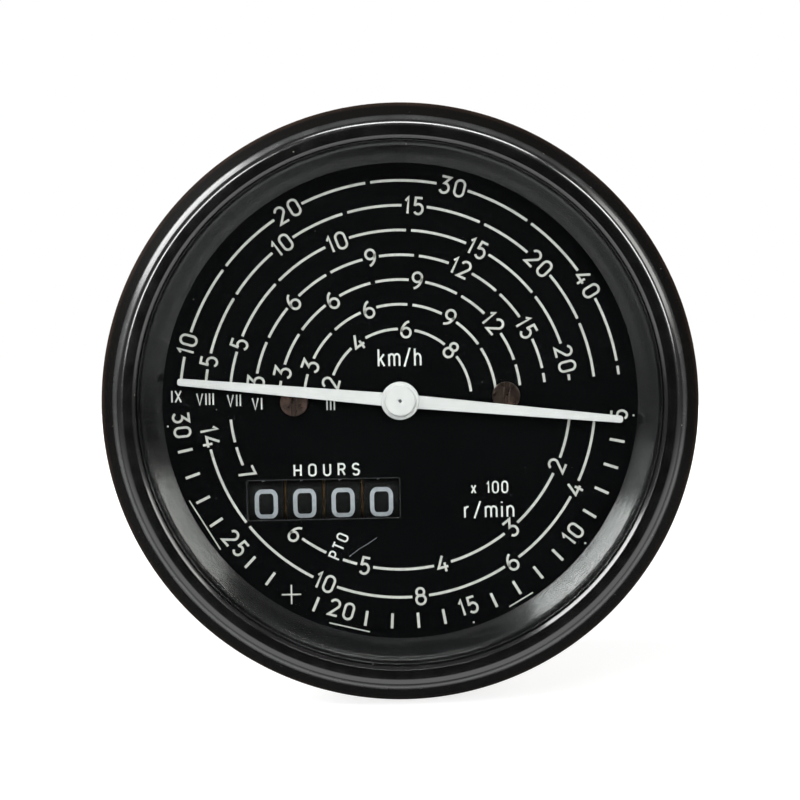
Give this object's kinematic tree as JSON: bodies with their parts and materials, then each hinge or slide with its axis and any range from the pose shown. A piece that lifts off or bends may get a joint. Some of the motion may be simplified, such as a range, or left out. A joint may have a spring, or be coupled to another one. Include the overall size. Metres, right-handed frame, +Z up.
{
  "type": "tachometer",
  "caption": "Round panel tachometer with a black rimmed dial, a double ended white pointer, an hour counter and a drive boss at the back.",
  "frame": {"origin": "on the instrument's axis, in the plane where the bezel's rear edge rests on the panel", "axes": "+Y along the axis, away from the reader, towards the drive boss; +Z up the dial; +X to the reader's right"},
  "size_m": [0.111, 0.1, 0.111],
  "materials": {
    "black_lacquer": "glossy black lacquer",
    "ring_lacquer": "glossy black, moulded cone",
    "dial_black": "matt black with printed scales",
    "pointer_white": "satin white",
    "burnished_screw": "burnished dark",
    "steel": "ground",
    "plated_steel": "zinc plated, yellowish",
    "brass": "turned and stamped brass",
    "bronze": "sintered bronze",
    "cast_alloy": "die cast, dull",
    "drag_alloy": "thin spun sheet",
    "rubber": "dull",
    "clear_glass": "polished",
    "bulb_glass": "clear",
    "drum_black": "matt black with pale figures",
    "pinion_plastic": "natural plastic",
    "magnet_alloy": "sintered magnet",
    "felt": "oiled felt",
    "moulding_black": "black moulded holder"
  },
  "bodies": {
    "housing": {"bezel": "black_lacquer", "glass": "clear_glass", "glass_seal": "rubber", "reflector_ring": "ring_lacquer", "dial_plate": "dial_black", "dial_screws": "burnished_screw", "dial_pillars": "brass", "hairspring": "bronze", "regulator_lever": "plated_steel", "stop_pins": "steel", "spindle_bridge": "plated_steel", "movement_screws": "plated_steel", "front_bearing": "bronze", "main_bearing": "bronze", "movement_plate": "brass", "plate_screws": "plated_steel", "frame_pillars": "steel", "mechanism_base": "cast_alloy", "drive_nipple": "brass", "base_screws": "plated_steel", "thrust_washer": "bronze", "front_bush": "bronze", "rear_bush": "bronze", "oil_felt": "felt", "worm_bracket": "plated_steel", "counter_frame": "plated_steel", "carrier_plate_tens": "brass", "carrier_plate_hundreds": "brass", "carrier_plate_thousands": "brass", "carrier_rod": "steel", "case": "plated_steel", "lamp_holder_left": "moulding_black", "lamp_holder_right": "moulding_black", "bulb_left": "bulb_glass", "bulb_right": "bulb_glass", "mounting_studs": "plated_steel"},
    "pointer_group": {"pointer": "pointer_white", "pointer_spindle": "steel", "drag_cup": "drag_alloy", "spring_collet": "brass", "stop_arm": "brass"},
    "drive_group": {"drive_shaft": "steel", "flux_cup": "plated_steel", "magnet": "magnet_alloy", "magnet_hub": "brass", "temperature_ring": "steel", "circlip": "steel"},
    "cross_group": {"cross_shaft": "steel", "cross_wheel": "brass"},
    "rising_group": {"rising_shaft": "steel", "rising_wheel": "brass"},
    "units_group": {"counter_axle": "steel", "counter_wheel": "brass", "drum_units": "drum_black"},
    "tens_drum": {"drum_tens": "drum_black"},
    "hundreds_drum": {"drum_hundreds": "drum_black"},
    "thousands_drum": {"drum_thousands": "drum_black"},
    "tens_pinion": {"transfer_pinion_tens": "pinion_plastic"},
    "hundreds_pinion": {"transfer_pinion_hundreds": "pinion_plastic"},
    "thousands_pinion": {"transfer_pinion_thousands": "pinion_plastic"}
  },
  "joints": [
    {"name": "pointer_swing", "type": "hinge", "parent": "housing", "child": "pointer_group", "pos_m": [0, 0, 0], "axis": [0, 1, 0], "range_deg": [0, 169], "stiffness_Nm_per_rad": 0.0003, "springref_deg": -5.73, "deforming": ["hairspring"]},
    {"name": "drive_spin", "type": "hinge", "parent": "housing", "child": "drive_group", "pos_m": [0, 0.08, 0], "axis": [0, 1, 0], "continuous": true},
    {"name": "cross_spin", "type": "hinge", "parent": "housing", "child": "cross_group", "pos_m": [0, 0.05703, 0.0128], "axis": [1, 0, 0], "continuous": true},
    {"name": "rising_spin", "type": "hinge", "parent": "housing", "child": "rising_group", "pos_m": [0.022, 0.05703, -0.0057], "axis": [0, -1, 0], "continuous": true},
    {"name": "units_spin", "type": "hinge", "parent": "housing", "child": "units_group", "pos_m": [0, 0.0142, -0.0186], "axis": [-1, 0, 0], "continuous": true},
    {"name": "tens_spin", "type": "hinge", "parent": "housing", "child": "tens_drum", "pos_m": [-0.0111, 0.0142, -0.0186], "axis": [-1, 0, 0], "continuous": true},
    {"name": "tens_pinion_spin", "type": "hinge", "parent": "housing", "child": "tens_pinion", "pos_m": [-0.0111, 0.02015, -0.0186], "axis": [-1, 0, 0], "continuous": true},
    {"name": "hundreds_spin", "type": "hinge", "parent": "housing", "child": "hundreds_drum", "pos_m": [-0.0183, 0.0142, -0.0186], "axis": [-1, 0, 0], "continuous": true},
    {"name": "hundreds_pinion_spin", "type": "hinge", "parent": "housing", "child": "hundreds_pinion", "pos_m": [-0.0183, 0.02015, -0.0186], "axis": [-1, 0, 0], "continuous": true},
    {"name": "thousands_spin", "type": "hinge", "parent": "housing", "child": "thousands_drum", "pos_m": [-0.0255, 0.0142, -0.0186], "axis": [-1, 0, 0], "continuous": true},
    {"name": "thousands_pinion_spin", "type": "hinge", "parent": "housing", "child": "thousands_pinion", "pos_m": [-0.0255, 0.02015, -0.0186], "axis": [-1, 0, 0], "continuous": true}
  ],
  "couplings": [
    {"joint": "cross_spin", "follows": "drive_spin", "ratio": 0.016667},
    {"joint": "rising_spin", "follows": "drive_spin", "ratio": 0.00016667},
    {"joint": "units_spin", "follows": "drive_spin", "ratio": 0.0000020833},
    {"joint": "tens_spin", "follows": "drive_spin", "ratio": 0.00000020833},
    {"joint": "tens_pinion_spin", "follows": "drive_spin", "ratio": 0.00000069444},
    {"joint": "hundreds_spin", "follows": "drive_spin", "ratio": 0.000000020833},
    {"joint": "hundreds_pinion_spin", "follows": "drive_spin", "ratio": 0.000000069444},
    {"joint": "thousands_spin", "follows": "drive_spin", "ratio": 0.0000000020833},
    {"joint": "thousands_pinion_spin", "follows": "drive_spin", "ratio": 0.0000000069444}
  ]
}
